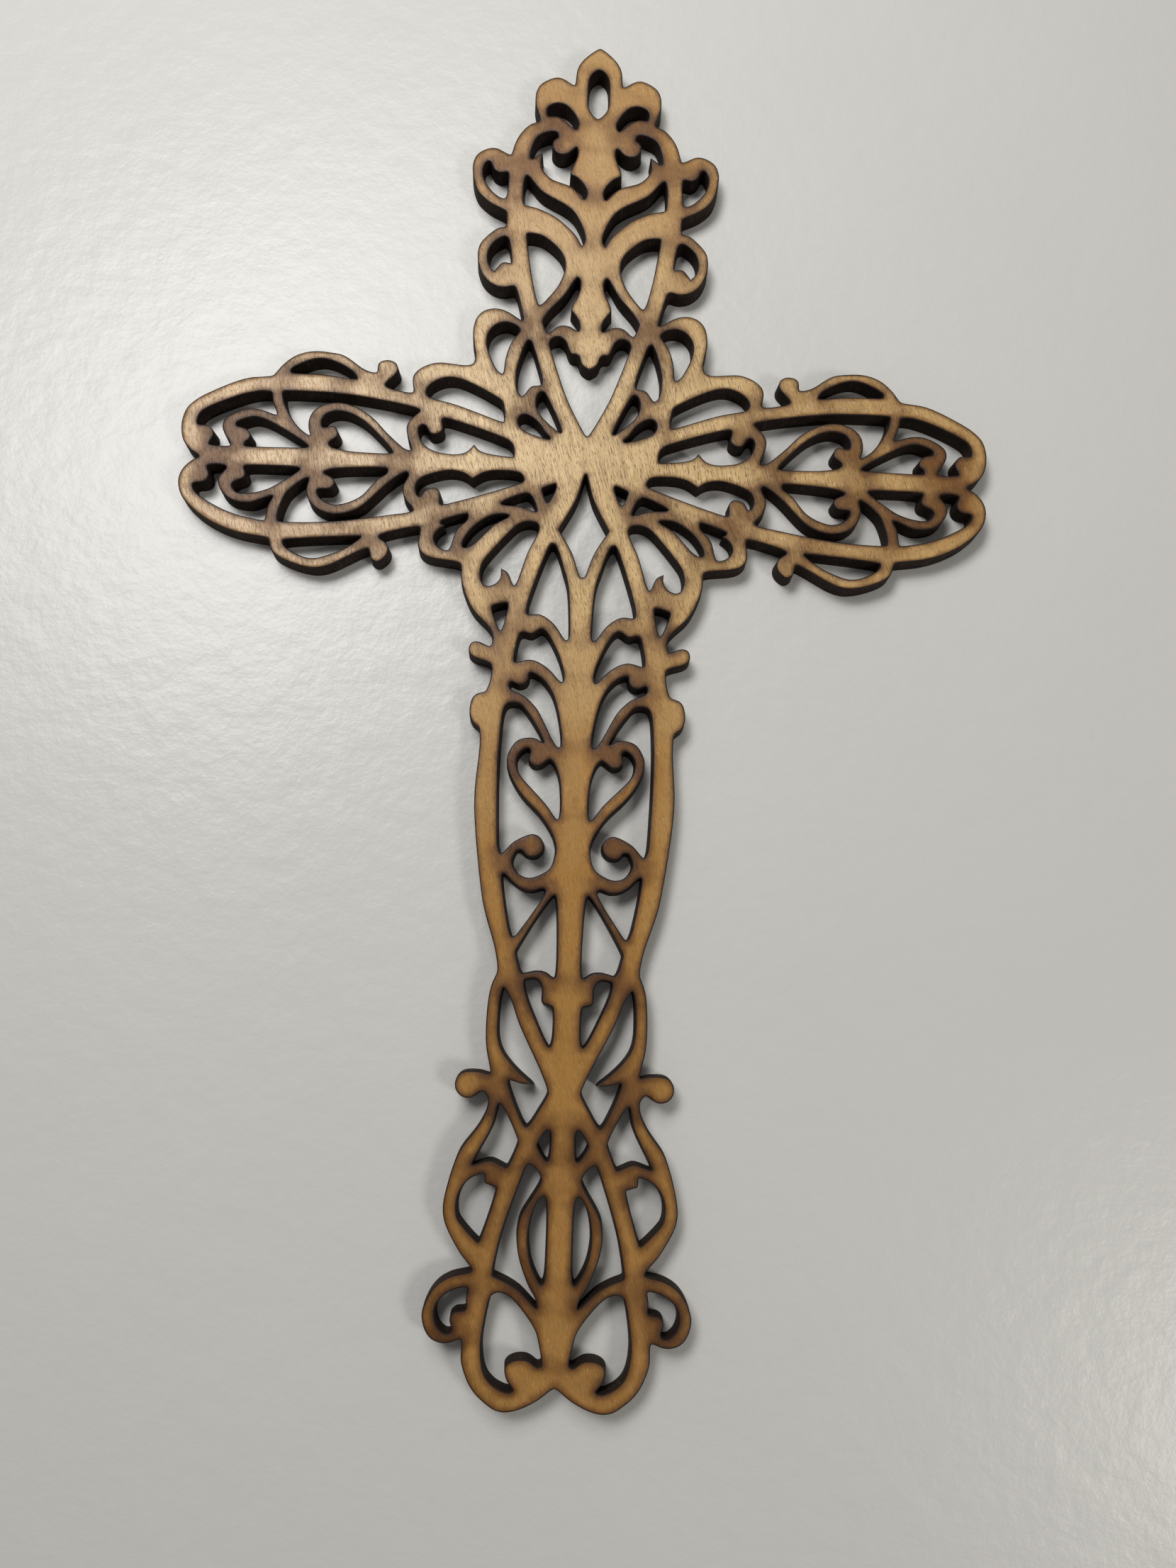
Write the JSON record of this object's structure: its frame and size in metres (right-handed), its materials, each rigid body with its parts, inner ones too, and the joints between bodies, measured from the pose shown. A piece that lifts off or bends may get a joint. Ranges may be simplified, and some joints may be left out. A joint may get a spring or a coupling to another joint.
{
  "type": "wooden filigree cross",
  "caption": "Flat filigree cross cut from thin plywood, with scrolled arms, a pierced finial and an open shaft and foot, to glue or fix flat on a surface.",
  "frame": {"origin": "on the back face, in the solid spot of the hub between the V window and the diamond window", "axes": "+Z out of the show face, +Y up the shaft towards the finial, +X across the arms"},
  "size_m": [0.121, 0.2031, 0.003],
  "materials": {
    "plywood": "fine sanded light plywood, bare, with brown scorch shading beside every cut and near-black charred cut walls"
  },
  "bodies": {
    "root": {"cross_panel": "plywood"}
  },
  "joints": []
}
